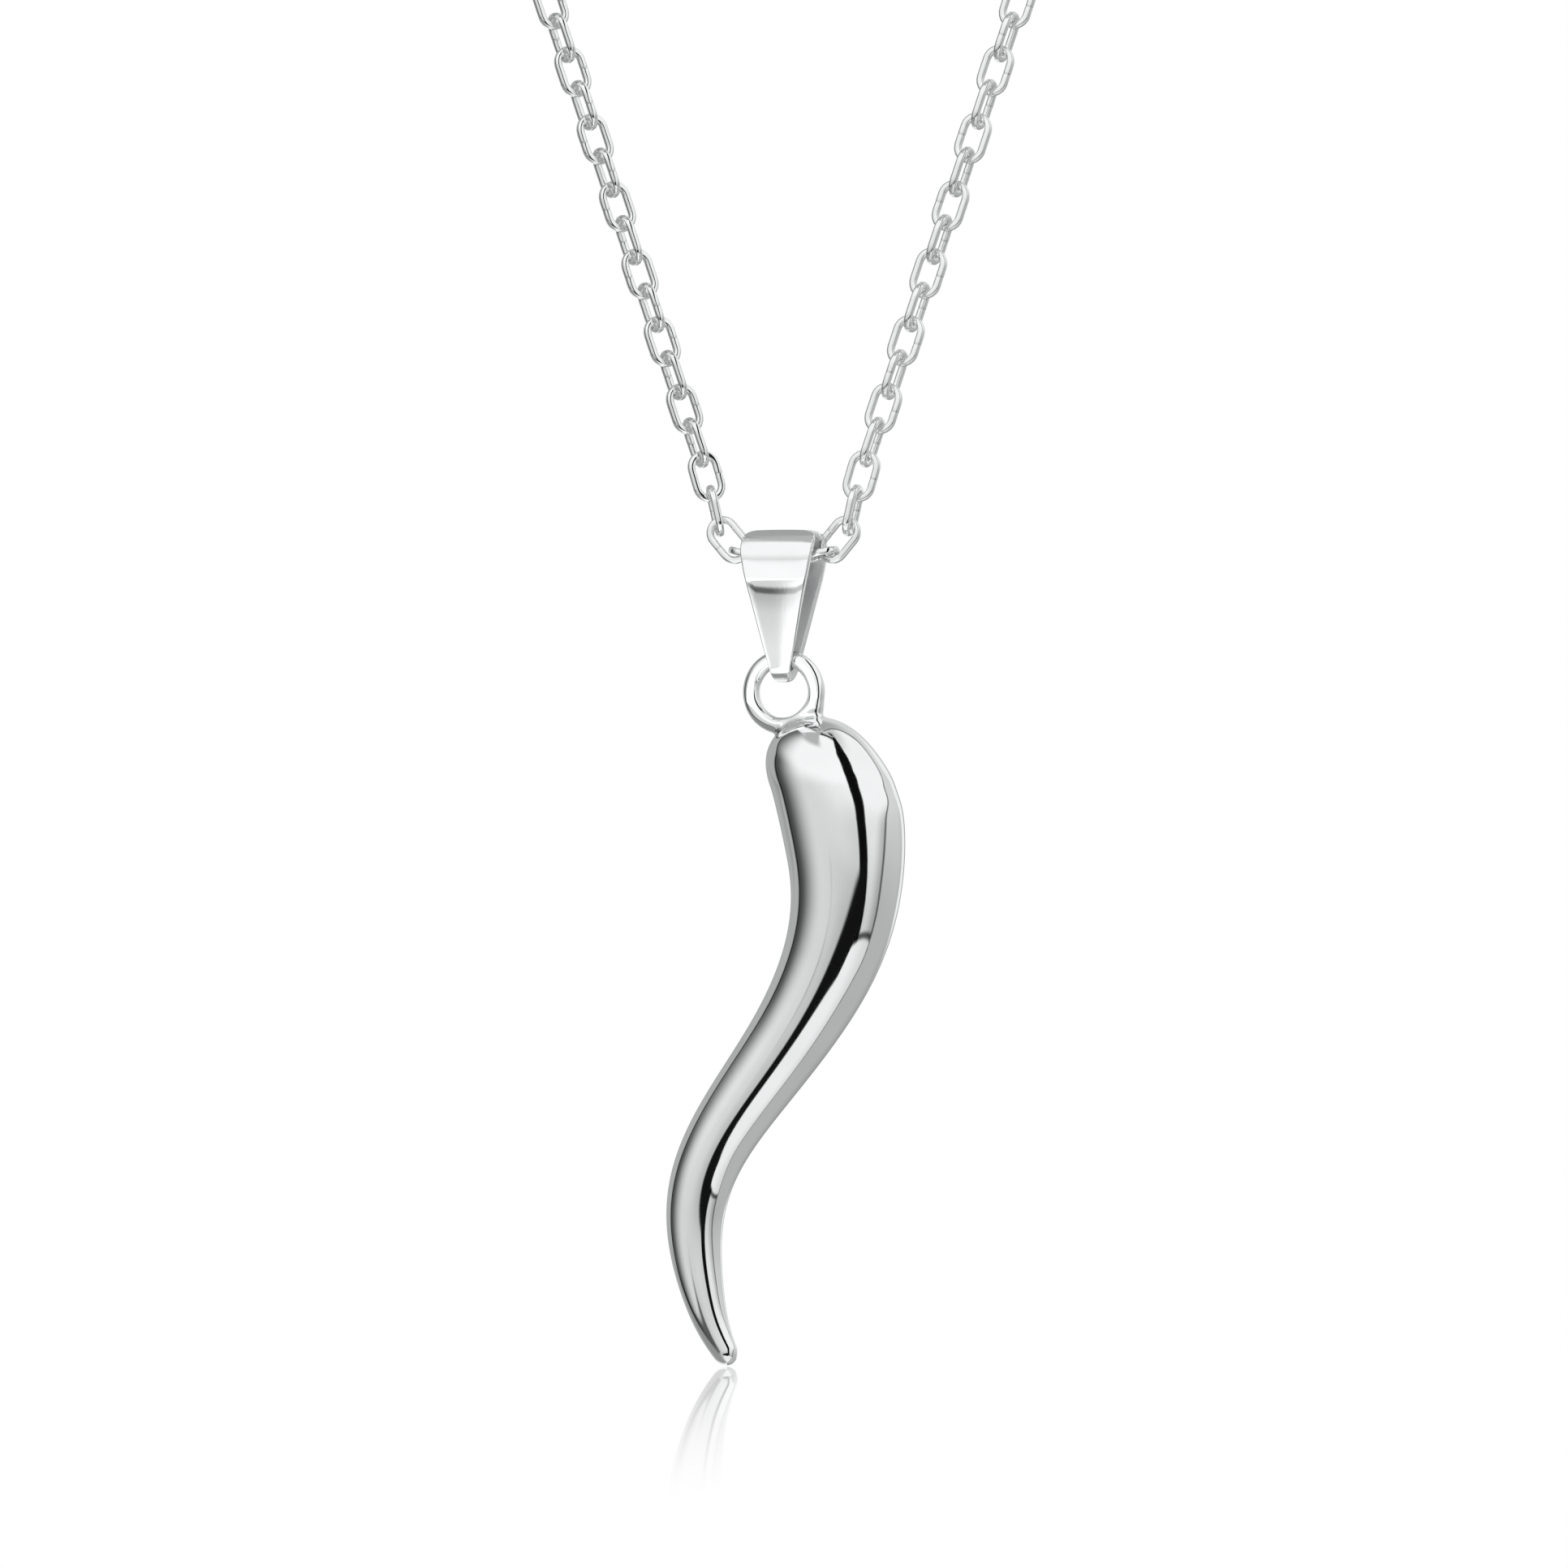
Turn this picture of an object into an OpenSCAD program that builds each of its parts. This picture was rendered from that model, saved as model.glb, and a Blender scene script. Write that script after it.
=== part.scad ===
/* [Chain] */
// Diameter of the wire that the links are made of
link_wire = 0.40; // [0.34:0.02:0.46]
// Outer length of a link
link_length = 2.83; // [2.70:0.01:3.00]
// Outer width of a link
link_width = 1.80; // [1.70:0.02:1.90]
// Clear space between two links where they hook together
link_gap = 0.12; // [0.10:0.01:0.20]
// How much closer the links sit where the chain bends through the bail
bend_nesting = 0.16; // [0.12:0.01:0.18]
// How far each strand is rolled about its own length, in degrees
strand_roll = 25; // [0:5:40]

/* [Clasp] */
// Shortest length of the clasp, with its two eyes
clasp_length = 8.5; // [7:0.5:12]
// Diameter of the clasp's barrel
clasp_barrel = 2.4; // [2:0.1:3]
// Diameter of the wire of the clasp's eyes
eye_wire = 0.50; // [0.40:0.05:0.60]
// Diameter of the eyes, measured through the middle of their wire
eye_diameter = 1.60; // [1.5:0.05:2.0]

/* [Bail] */
// Width of the strap where it lies over the chain
strap_width = 3.80; // [3.2:0.1:3.9]
// Width of the strap at its foot
foot_width = 1.05; // [0.9:0.05:1.5]
// Thickness of the strap
strap_thickness = 0.42; // [0.30:0.02:0.60]
// Corner radius of the strap's outline at the top
strap_corner = 0.45; // [0.2:0.05:0.7]
// Room between the widest links and the inside of the bail's round top
bail_play = 0.31; // [0.24:0.01:0.50]
// Height of the upright stretch below the bail's round top
belly_height = 0.90; // [0.4:0.1:1.6]
// From the chain's centre line down to the wire of the horn's loop
bail_drop = 5.27; // [4.6:0.1:6.5]
// Metal below the loop's wire, where front and back of the strap are joined
foot_thickness = 0.61; // [0.5:0.05:1.0]

/* [Loop] */
// Diameter of the horn's loop, measured through the middle of its wire
loop_diameter = 3.66; // [3.4:0.1:4.4]
// Thickness of the loop's wire
loop_wire = 0.92; // [0.7:0.02:1.0]
// Clear space between the loop's wire and the bail around it
loop_gap = 0.12; // [0.10:0.01:0.20]

/* [Horn] */
// Height of the horn from the top of its dome to the tip
horn_height = 34.8; // [28:0.5:42]
// Largest thickness of the horn, seen from the front
horn_thickness = 6.78; // [6:0.1:8]
// Largest thickness of the horn from front to back
horn_depth = 6.50; // [5.5:0.1:8]
// How far the horn's curve swings out to the side of its loop
horn_sway = 5.00; // [3:0.1:6]
// Height over which the top of the horn rounds in
dome_height = 3.80; // [2.5:0.1:5]
// Length over which the tip rounds in
tip_length = 0.90; // [0.5:0.1:1.5]
// From the middle of the loop down to the top of the dome
dome_drop = 1.30; // [1.2:0.05:1.5]
// Thickness of the web that blends the loop into the dome
web_thickness = 0.80; // [0.6:0.05:0.9]

/* [Pose] */
// How far the bail and the horn hang turned to the side, in degrees
pendant_turn = 18; // [0:1:20]

/* [Hidden] */

// Right half of the chain from the middle of the bail to the nape.
// Columns: out to the side, back, up, and how far it leans with the turned pendant.
chain_route = [
    [0, 0, 0, 0],
    [0.9, 0, 0, 0.3],
    [2.7, 0, 0.6, 0.9],
    [3.6, 0, 2, 1.2],
    [4, 0, 4.1, 1.2],
    [4.6, 0, 5.9, 1.2],
    [11.6, 0, 27, 1],
    [20, 0, 52.3, 0.6],
    [28.4, 0, 77.5, 0.2],
    [33, 1, 91, 0],
    [38, 6, 105, 0],
    [43, 17, 117, 0],
    [45, 32, 125, 0],
    [43, 48, 130, 0],
    [36, 64, 134, 0],
    [24, 76, 136, 0],
    [12, 82, 137, 0],
    [5, 83, 137, 0],
    [0, 83, 137, 0]
];
nape = chain_route[len(chain_route) - 1];

// The horn from its dome to its tip.
// Columns: share of the height, share of the sway to the side, share of the thickness.
horn_rows = [
    [0.00, -0.04, 1.00],
    [0.05, 0.29, 1.00],
    [0.10, 0.52, 1.00],
    [0.17, 0.66, 0.98],
    [0.25, 0.70, 0.90],
    [0.33, 0.62, 0.815],
    [0.42, 0.37, 0.715],
    [0.50, 0.02, 0.635],
    [0.58, -0.39, 0.58],
    [0.66, -0.76, 0.54],
    [0.74, -0.97, 0.495],
    [0.82, -1.00, 0.425],
    [0.90, -0.90, 0.33],
    [0.96, -0.75, 0.24],
    [1.00, -0.61, 0.18]
];
horn_rings = 56;
horn_sides = 32;

link_pitch = link_length - 2 * link_wire - link_gap;
bend_pitch = link_pitch - bend_nesting;
// From the point where two links meet to the middle of either one's end wire
hook_reach = (link_wire + link_gap) / 2;
// The same for the last link and the clasp's eye
eye_reach = eye_wire / 2 + link_wire / 2 + link_gap - hook_reach;

bail_inside = link_width / 2 + bail_play;
bail_outside = bail_inside + strap_thickness;
foot_inside = loop_wire / 2 + loop_gap;
// The strap is hammered a little thinner where it wraps round the loop's wire
foot_outside = foot_inside + 0.7 * strap_thickness;
loop_radius = loop_diameter / 2;
// How far the loop's wire curves down across just over half the width of the bail's foot
bow_reach = 0.6 * foot_width;
loop_bow = loop_radius - sqrt(pow(loop_radius, 2) - pow(bow_reach, 2));
slot_depth = bail_drop + loop_bow;
foot_bottom = slot_depth + foot_inside + foot_thickness;
loop_drop = bail_drop + loop_radius;
// How far the front view's outline reaches past the side view's
front_margin = 0.05;
// Height where the strap's edges start to lean in towards the foot
strap_waist = -0.6 * belly_height;

// Where the web leaves the loop, in degrees from straight down, and how deep it lies in the wire
web_turns = [5, 52];
web_overlap = 0.02;

// Number of steps that each stretch of the chain's route is measured in
route_steps = 12;

// Value of a column at place t, on a smooth curve through a table's rows.
function row_before(table, t) =
    max([0, for (i = [0:len(table) - 2]) if (table[i][0] <= t) i]);
function row_slope(table, i, column) =
    let (a = table[max(i - 1, 0)], b = table[min(i + 1, len(table) - 1)])
    (b[column] - a[column]) / (b[0] - a[0]);
function smooth(table, t, column) =
    let (
        i = row_before(table, t),
        a = table[i],
        b = table[i + 1],
        span = b[0] - a[0],
        u = (t - a[0]) / span,
        leave = row_slope(table, i, column) * span,
        arrive = row_slope(table, i + 1, column) * span
    )
    a[column] * (1 - u) * (1 - u) * (1 + 2 * u) + leave * u * (1 - u) * (1 - u)
        + b[column] * u * u * (3 - 2 * u) - arrive * u * u * (1 - u);

// The same points with the length of the way to each of them put in front.
function with_length(points) =
    [for (i = 0, way = 0; i < len(points);
        i = i + 1, way = way + (i < len(points) ? norm(points[i] - points[i - 1]) : 0))
        concat([way], points[i])];

// Points of one half of the chain. The left half leans the other way and is mirrored later.
function half_points(lean) =
    [for (p = chain_route) [p[0], p[1] - lean * p[3], p[2]]];
function half_curve(lean) =
    let (
        knots = with_length(half_points(lean)),
        places = [for (i = [0:len(knots) - 2]) for (step = [0:route_steps - 1])
            knots[i][0] + (knots[i + 1][0] - knots[i][0]) * step / route_steps]
    )
    with_length([
        for (t = concat(places, [knots[len(knots) - 1][0]]))
            [for (column = [1:3]) smooth(knots, t, column)]
    ]);
function on_curve(curve, way) =
    [for (column = [1:3]) lookup(way, [for (row = curve) [row[0], row[column]]])];

// Place along the route where link k hooks into link k + 1.
function hook_way(k) =
    k < 3 ? (k + 0.5) * bend_pitch : 2.5 * bend_pitch + (k - 2) * link_pitch;

right_curve = half_curve(1);
left_curve = half_curve(-1);
half_length = right_curve[len(right_curve) - 1][0];
last_link = floor((half_length - clasp_length / 2 - 2.5 * bend_pitch) / link_pitch) + 2;

// Turns a piece that lies along X to the direction of a vector.
module along(direction) {
    level = norm([direction.x, direction.y]);
    rotate([0, -atan2(direction.z, level), atan2(direction.y, direction.x)])
        children();
}

// Every second link is turned by a quarter. The strands reach their full roll at the sixth link.
function link_roll(k) = 90 * ((k + 1) % 2) - strand_roll * min(k / 6, 1);

module link() {
    bend = (link_width - link_wire) / 2;
    straight = link_length - link_width;
    for (end = [0, 1])
        rotate([0, 0, 180 * end - 90])
            translate([0, straight / 2, 0])
                rotate_extrude(angle = 180, $fn = 32)
                    translate([bend, 0])
                        circle(d = link_wire, $fn = 24);
    for (side = [-1, 1])
        translate([-straight / 2, side * bend, 0])
            rotate([0, 90, 0])
                cylinder(d = link_wire, h = straight, $fn = 24);
}

// The links of one half of the chain, without the middle one.
module strand(curve) {
    for (k = [1:last_link]) {
        a = on_curve(curve, hook_way(k - 1));
        b = on_curve(curve, hook_way(k));
        translate((a + b) / 2)
            along(b - a)
                rotate([link_roll(k), 0, 0])
                    link();
    }
}

module to_nape() {
    translate([0, -nape[1], -nape[2]])
        children();
}

module chain_right() {
    color("silver")
        to_nape()
            strand(right_curve);
}

module chain_left() {
    color("silver")
        to_nape() {
            mirror([1, 0, 0])
                strand(left_curve);
            rotate([0, 0, -pendant_turn])
                rotate([link_roll(0), 0, 0])
                    link();
        }
}

module half_clasp() {
    hook = on_curve(right_curve, hook_way(last_link));
    direction = on_curve(right_curve, hook_way(last_link) + link_pitch) - hook;
    eye = hook + direction / norm(direction) * (eye_diameter / 2 - eye_reach);
    translate(eye)
        along(direction)
            rotate([link_roll(last_link + 1), 0, 0])
                rotate_extrude($fn = 48)
                    translate([eye_diameter / 2, 0])
                        circle(d = eye_wire, $fn = 24);
    barrel = eye.x - eye_diameter / 2;
    translate([0, nape[1], nape[2]])
        rotate([0, 90, 0])
            cylinder(d = clasp_barrel, h = barrel - clasp_barrel / 4, $fn = 64);
    translate([barrel - clasp_barrel / 4, nape[1], nape[2]])
        rotate([0, 90, 0])
            cylinder(d1 = clasp_barrel, d2 = eye_wire, h = clasp_barrel / 4, $fn = 64);
}

module clasp() {
    color("silver")
        to_nape()
            for (side = [0, 1])
                mirror([side, 0, 0])
                    half_clasp();
}

module pendant_place() {
    to_nape()
        rotate([0, 0, -pendant_turn])
            children();
}

// A round bar along X at a depth below the chain's centre line.
module bar(radius, depth, length) {
    translate([0, 0, -depth])
        rotate([0, 90, 0])
            cylinder(r = radius, h = length, center = true, $fn = 96);
}

// A strap bent round the chain, seen from the side and filled in: a round top,
// an upright stretch and straight sides that touch a narrow round foot.
module bail_side(top_radius, foot_radius, foot_depth, length) {
    lean = asin((top_radius - foot_radius) / (foot_depth - belly_height));
    touch = [cos(lean), -sin(lean)];
    high = top_radius * touch - [0, belly_height];
    low = foot_radius * touch - [0, foot_depth];
    bar(top_radius, 0, length);
    bar(top_radius, belly_height, length);
    bar(foot_radius, foot_depth, length);
    rotate([90, 0, 90])
        linear_extrude(length, center = true)
            polygon([
                [-top_radius, 0],
                [-top_radius, -belly_height],
                [-high.x, high.y],
                [-low.x, low.y],
                low,
                high,
                [top_radius, -belly_height],
                [top_radius, 0]
            ]);
}

// The strap seen from the front: rounded top corners, then straight edges to a round foot.
// It reaches just past the side view at top and foot, so that the side view rounds both.
module bail_front(depth) {
    half = strap_width / 2;
    foot = foot_width / 2;
    top = bail_outside + front_margin;
    shoulder = top - strap_corner;
    ankle = foot - foot_bottom - front_margin;
    rotate([90, 0, 0]) {
        linear_extrude(depth, center = true)
            polygon([
                [-half, strap_waist],
                [-half, shoulder],
                [strap_corner - half, top],
                [half - strap_corner, top],
                [half, shoulder],
                [half, strap_waist],
                [foot, ankle],
                [-foot, ankle]
            ]);
        for (side = [-1, 1])
            translate([side * (half - strap_corner), shoulder, 0])
                cylinder(r = strap_corner, h = depth, center = true, $fn = 48);
        translate([0, ankle, 0])
            cylinder(r = foot, h = depth, center = true, $fn = 48);
    }
}

module bail() {
    long = strap_width + 2;
    foot_depth = foot_bottom - foot_outside;
    color("silver")
        pendant_place()
            difference() {
                intersection() {
                    bail_side(bail_outside, foot_outside, foot_depth, long);
                    bail_front(2 * bail_outside + 2);
                }
                bail_side(bail_inside, foot_inside, slot_depth, long + 2);
            }
}

// Both ends of the horn are rounded in like half an ellipse.
function round_in(distance, length) =
    distance >= length ? 1 : sqrt(max(1 - pow(1 - distance / length, 2), 0));
function horn_point(t) =
    [horn_sway * smooth(horn_rows, t, 1), 0, -dome_drop - horn_height * t];
function horn_share(t) =
    smooth(horn_rows, t, 2) * round_in(horn_height * t, dome_height)
        * round_in(horn_height * (1 - t), tip_length);
// Shares of the height are closer together at both ends, where the horn rounds in.
function ring_share(i) = (1 - cos(180 * i / horn_rings)) / 2;
function horn_ring(t) =
    let (
        near = 0.002,
        ahead = horn_point(min(t + near, 1)) - horn_point(max(t - near, 0)),
        across = [-ahead.z, 0, ahead.x] / norm(ahead),
        share = horn_share(t)
    )
    [for (j = [0:horn_sides - 1])
        let (turn = 360 * j / horn_sides)
        horn_point(t)
            + across * share * horn_thickness / 2 * cos(turn)
            + [0, share * horn_depth / 2 * sin(turn), 0]];

module horn_body() {
    rings = [for (i = [1:horn_rings - 1]) horn_ring(ring_share(i))];
    points = concat(
        [for (ring = rings) for (point = ring) point],
        [horn_point(0), horn_point(1)]
    );
    top = len(points) - 2;
    tip = len(points) - 1;
    last = (horn_rings - 2) * horn_sides;
    walls = [for (i = [0:horn_rings - 3]) for (j = [0:horn_sides - 1])
        let (a = i * horn_sides + j, b = i * horn_sides + (j + 1) % horn_sides)
        each [[a, b, a + horn_sides], [b, b + horn_sides, a + horn_sides]]];
    caps = [for (j = [0:horn_sides - 1])
        let (next = (j + 1) % horn_sides)
        each [[top, next, j], [tip, last + j, last + next]]];
    polyhedron(points, concat(walls, caps));
}

module loop() {
    rotate([90, 0, 0])
        rotate_extrude($fn = 96)
            translate([loop_radius, 0])
                circle(d = loop_wire, $fn = 48);
}

// The metal that fills the corner between the loop and the dome.
module web() {
    hole = loop_radius - loop_wire / 2;
    depth = hole + web_thickness / 2 + web_overlap;
    hull() {
        for (turn = web_turns)
            rotate([0, -turn, 0])
                translate([0, 0, -depth])
                    sphere(d = web_thickness, $fn = 24);
        translate([depth / 2, 0, -depth - web_thickness])
            sphere(d = web_thickness, $fn = 24);
    }
}

module horn() {
    color("silver")
        pendant_place()
            translate([0, 0, -loop_drop]) {
                horn_body();
                loop();
                web();
            }
}

horn();
bail();
chain_left();
chain_right();
clasp();
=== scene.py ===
import math

import bpy
import numpy as np
from mathutils import Matrix, Vector


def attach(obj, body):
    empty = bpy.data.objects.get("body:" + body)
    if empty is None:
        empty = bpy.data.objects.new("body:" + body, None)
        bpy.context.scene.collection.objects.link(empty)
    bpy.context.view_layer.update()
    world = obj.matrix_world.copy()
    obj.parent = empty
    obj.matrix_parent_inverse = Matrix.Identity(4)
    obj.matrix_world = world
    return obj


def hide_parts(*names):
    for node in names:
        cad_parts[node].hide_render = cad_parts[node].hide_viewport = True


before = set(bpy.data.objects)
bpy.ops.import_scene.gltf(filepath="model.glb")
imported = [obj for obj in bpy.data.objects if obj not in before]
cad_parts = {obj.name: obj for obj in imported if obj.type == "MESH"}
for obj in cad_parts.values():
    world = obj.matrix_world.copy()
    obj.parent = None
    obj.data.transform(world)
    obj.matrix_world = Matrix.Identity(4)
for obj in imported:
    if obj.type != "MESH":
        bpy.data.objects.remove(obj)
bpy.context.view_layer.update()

mm = 0.001  # the pieces are drawn in millimetres
print("frame loaded with nodes", sorted(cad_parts))

# where the pendant hangs

hangSizes = {
    "turn": 18,        # degrees that the bail and the horn hang turned to the side
    "napeBack": 83,    # from the middle of the bail back to the nape
    "napeUp": 137,     # and up to it
    "loopDrop": 7.10,  # from the chain's centre line down to the middle of the horn's loop
}


def toPendant(points):
    turn = math.radians(hangSizes["turn"])
    x, y, z = np.asarray(points, float).T
    turned = (
        x * math.cos(turn) + y * math.sin(turn),
        y * math.cos(turn) - x * math.sin(turn) - hangSizes["napeBack"],
        z - hangSizes["napeUp"],
    )
    return np.stack(turned, 1) * mm


def toNape(points):
    return (np.asarray(points, float) - (0, hangSizes["napeBack"], hangSizes["napeUp"])) * mm


def turnWay(directions):
    turn = math.radians(hangSizes["turn"])
    x, y, z = np.asarray(directions, float).T
    return np.stack((x * math.cos(turn) + y * math.sin(turn), y * math.cos(turn) - x * math.sin(turn), z), 1)


def outward(points, faces):
    # turns the faces over if they look into the piece
    at, volume = np.asarray(points, float), 0.0
    for f in faces:
        for j in range(1, len(f) - 1):
            volume += at[f[0]] @ np.cross(at[f[j]], at[f[j + 1]])
    return [[int(i) for i in (f if volume > 0 else f[::-1])] for f in faces]


def makePiece(name, points, faces, normals=None, numbers=None):
    mesh = bpy.data.meshes.new(name)
    mesh.from_pydata(np.asarray(points).tolist(), [], [list(map(int, f)) for f in faces])
    mesh.validate()
    mesh.shade_smooth()
    if normals is not None:
        mesh.normals_split_custom_set_from_vertices(np.asarray(normals).tolist())
    for label, values in (numbers or {}).items():
        mesh.attributes.new(label, "FLOAT", "POINT").data.foreach_set("value", np.asarray(values, np.float32))
    piece = bpy.data.objects.new(name, mesh)
    bpy.context.scene.collection.objects.link(piece)
    return piece


def tubeFaces(rings, sides, closed):
    # quads between neighbouring rings of points
    ring, side = np.meshgrid(np.arange(rings if closed else rings - 1), np.arange(sides), indexing="ij")
    a = (ring * sides + side).ravel()
    b = (ring * sides + (side + 1) % sides).ravel()
    step = ((ring + 1) % rings * sides - ring * sides).ravel()
    return np.stack((a, b, b + step, a + step), 1)


# shader nodes written as sums

class Wire:
    # a node's output that can stand in a sum
    def __init__(self, board, socket):
        self.board = board
        self.socket = socket

    def sum(self, operation, first, second):
        return self.board.add("ShaderNodeMath", {"operation": operation}, [first, second])

    def __add__(self, other):
        return self.sum("ADD", self, other)

    def __radd__(self, other):
        return self.sum("ADD", other, self)

    def __sub__(self, other):
        return self.sum("SUBTRACT", self, other)

    def __rsub__(self, other):
        return self.sum("SUBTRACT", other, self)

    def __mul__(self, other):
        return self.sum("MULTIPLY", self, other)

    def __rmul__(self, other):
        return self.sum("MULTIPLY", other, self)

    def __truediv__(self, other):
        return self.sum("DIVIDE", self, other)

    def __neg__(self):
        return self.sum("MULTIPLY", self, -1)


class Board:
    # a node tree that is filled node by node
    def __init__(self, tree):
        self.tree = tree
        tree.nodes.clear()

    def add(self, kind, settings=None, inputs=None, output=0):
        node = self.tree.nodes.new(kind)
        for name, value in (settings or {}).items():
            setattr(node, name, value)
        pairs = enumerate(inputs) if isinstance(inputs, (list, tuple)) else (inputs or {}).items()
        for key, value in pairs:
            if isinstance(value, Wire):
                self.tree.links.new(value.socket, node.inputs[key])
            else:
                node.inputs[key].default_value = value
        return Wire(self, node.outputs[output]) if len(node.outputs) else node

    def split(self, vector):
        # x, y and z of a vector
        first = self.add("ShaderNodeSeparateXYZ", None, [vector])
        return [Wire(self, socket) for socket in first.socket.node.outputs]

    def rise(self, value, start, end):
        # 0 below start, 1 above end, softly in between
        soft = {"interpolation_type": "SMOOTHSTEP"}
        return self.add("ShaderNodeMapRange", soft, [value, start, end, 0.0, 1.0])


def cover(below, above, mask):
    return below + (above - below) * mask


# horn

hornLook = {
    "height": 34.78,
    "thickness": 6.78,
    "depth": 6.50,
    "sway": 5.00,
    "domeHeight": 3.66,
    "tipLength": 0.62,
    "domeDrop": 1.33,     # from the middle of the loop down to the dome
    "rings": 300,
    "sides": 112,
    "crowding": 0.6,      # how much closer the rings lie towards both ends
    # shares of the height between which the rings turn from level to square with the curve
    "level": (0.11, 0.22),
    "evening": 1.0,       # mm over which the curve is evened out, so that mirrored lines run clean
    "rows": [             # share of the height, of the sway and of the thickness
        (0.00, 0.365, 1.00), (0.05, 0.395, 0.985), (0.10, 0.54, 1.00), (0.17, 0.672, 0.985),
        (0.25, 0.712, 0.90), (0.33, 0.634, 0.818), (0.42, 0.382, 0.72), (0.50, 0.035, 0.642),
        (0.58, -0.383, 0.585), (0.66, -0.768, 0.535), (0.74, -0.985, 0.488), (0.82, -1.008, 0.42),
        (0.90, -0.905, 0.328), (0.96, -0.764, 0.237), (1.00, -0.59, 0.17),
    ],
}


def evenCurve(places, values, reach):
    # a natural spline through the rows, evened out over a reach
    x, y = np.array(places), np.array(values)
    gap = np.diff(x)
    slope = np.diff(y) / gap
    system, right = np.eye(len(x)), np.zeros(len(x))
    for i in range(1, len(x) - 1):
        system[i, i - 1:i + 2] = gap[i - 1], 2 * (gap[i - 1] + gap[i]), gap[i]
        right[i] = 6 * (slope[i] - slope[i - 1])
    bend = np.linalg.solve(system, right)

    def spline(t):
        i = np.clip(np.searchsorted(x, t, side="right") - 1, 0, len(x) - 2)
        a, b, h = x[i + 1] - t, t - x[i], gap[i]
        return (bend[i] * a**3 + bend[i + 1] * b**3) / (6 * h) + (y[i] / h - bend[i] * h / 6) * a + (
            y[i + 1] / h - bend[i + 1] * h / 6) * b

    fine = np.linspace(-0.15, 1.15, 2601)
    inside = np.clip(fine, 0, 1)
    step = 0.001
    startSlope, endSlope = (spline(step) - spline(0.0)) / step, (spline(1.0) - spline(1.0 - step)) / step
    line = spline(inside) + (fine - inside) * np.where(fine < 0.5, startSlope, endSlope)
    weights = np.exp(-0.5 * ((np.arange(-200, 201) * (fine[1] - fine[0])) / reach) ** 2)
    even = np.convolve(line, weights / weights.sum(), "same")
    return lambda t: np.interp(t, fine, even)


def roundIn(distance, length):
    return np.where(distance >= length, 1, np.sqrt(np.clip(1 - (1 - distance / length) ** 2, 0, 1)))


share, sway, width = zip(*hornLook["rows"])
evening = hornLook["evening"] / hornLook["height"]
hornSide, hornThick = evenCurve(share, sway, evening), evenCurve(share, width, evening)


def hornShape(look):
    side, thick = hornSide, hornThick
    turn = np.linspace(0, math.pi, look["rings"] + 1)[1:-1]
    crowding = look["crowding"]
    t = 0.5 * (1 - np.cos(turn)) * crowding + (1 - crowding) * turn / math.pi

    def middle(at):
        return np.stack((look["sway"] * side(at), 0 * at, -look["domeDrop"] - look["height"] * at), 1)

    ahead = middle(t + 0.002) - middle(t - 0.002)
    slant = np.clip((t - look["level"][0]) / (look["level"][1] - look["level"][0]), 0, 1)
    slant = slant**2 * (3 - 2 * slant)
    across = np.stack((-ahead[:, 2], 0 * t, ahead[:, 0] * slant), 1)
    across /= np.linalg.norm(across, axis=1)[:, None]
    full = thick(t) * roundIn(look["height"] * t, look["domeHeight"])
    full = full * roundIn(look["height"] * (1 - t), look["tipLength"])
    around = np.linspace(0, 2 * math.pi, look["sides"], endpoint=False)
    points = (
        middle(t)[:, None, :]
        + across[:, None, :] * (full[:, None] * np.cos(around) * look["thickness"] / 2)[..., None]
        + np.array((0, 1, 0)) * (full[:, None] * np.sin(around) * look["depth"] / 2)[..., None]
    ).reshape(-1, 3)
    ends = middle(np.array([0.0, 1.0]))
    faces = tubeFaces(len(t), look["sides"], False).tolist()
    top, tip, last = len(points), len(points) + 1, (len(t) - 1) * look["sides"]
    for j in range(look["sides"]):
        after = (j + 1) % look["sides"]
        faces += [(top, after, j), (tip, last + j, last + after)]
    return np.vstack((points, ends)), faces


hornPoints, hornFaces = hornShape(hornLook)
hornFaces = outward(hornPoints, hornFaces)
print("horn body with", len(hornFaces), "faces")

# the horn's loop and the web that joins it to the dome

loopLook = {
    "diameter": 3.66,     # through the middle of the wire
    "wire": 0.92,
    "web": 0.80,          # thickness of the web
    # corners of the web, to the right and up
    "corners": ((0.16, -1.78), (1.70, -0.95), (1.75, -1.90), (0.30, -2.40)),
    "blend": 0.45,        # how softly the loop flows into the web
    "holeEdge": 0.12,     # how softly the web ends at the loop's hole
    "weld": 0.30,         # how softly both flow into the dome
    "fine": 0.07,         # size of the skin's faces
    "room": 0.1,          # free space round the loop in the box that the skin is made in
    "boxDepth": 1.2,      # how far that box reaches to the front and to the back
    "boxBelow": 1.6,      # how much further down, for the web and the dome's rim
    "boxRight": 0.5,      # how much further to the right
}


def softUnion(a, b, reach):
    share = np.clip(0.5 + 0.5 * (b - a) / reach, 0, 1)
    return b + (a - b) * share - reach * share * (1 - share)


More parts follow.
